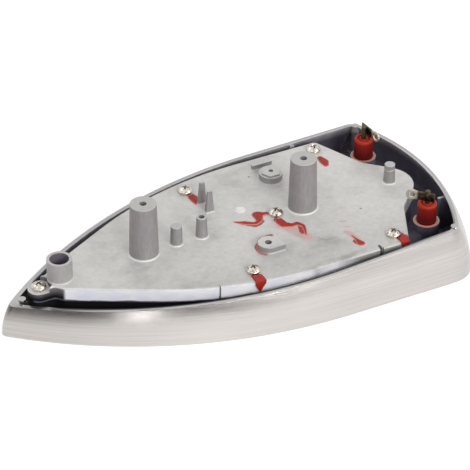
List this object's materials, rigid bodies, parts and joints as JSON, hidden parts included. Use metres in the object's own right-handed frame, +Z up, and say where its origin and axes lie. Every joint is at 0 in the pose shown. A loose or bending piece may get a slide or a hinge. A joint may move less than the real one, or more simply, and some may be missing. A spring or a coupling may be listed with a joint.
{
  "type": "iron soleplate",
  "caption": "Steam iron soleplate: boat-shaped cast skirt with a cast-in heater, closed by a screwed-on steam chamber cover with posts, steam inlet and heater terminals.",
  "frame": {"origin": "middle of the sole's flat underside, at half length and half width", "axes": "+X from nose to heel along the middle, +Z up from the sole, +Y towards the side with the thermostat seat"},
  "size_m": [0.23, 0.116, 0.0509],
  "materials": {
    "cast_skirt": "brushed outside, dark as cast inside",
    "cast_cover": "shot-blasted casting",
    "silicone_bed": "cured sealant",
    "silicone_smear": "cured sealant, glossy",
    "silicone_cap": "moulded, satin",
    "heater_sheath": "oxidised tube",
    "screw_nickel": "bright plated",
    "bead_ceramic": "fired, matt",
    "pin_steel": "drawn wire",
    "tab_nickel": "stamped strip"
  },
  "bodies": {
    "root": {"soleplate": "cast_skirt", "chamber_gasket": "silicone_bed", "chamber_cover": "cast_cover", "heating_element": "heater_sheath", "cover_screws": "screw_nickel", "sealant_smears": "silicone_smear", "terminal_bead_left": "bead_ceramic", "terminal_bead_right": "bead_ceramic", "terminal_pin_left": "pin_steel", "terminal_pin_right": "pin_steel", "terminal_seal_left": "silicone_cap", "terminal_seal_right": "silicone_cap", "terminal_tab_left": "tab_nickel", "terminal_tab_right": "tab_nickel"}
  },
  "joints": []
}
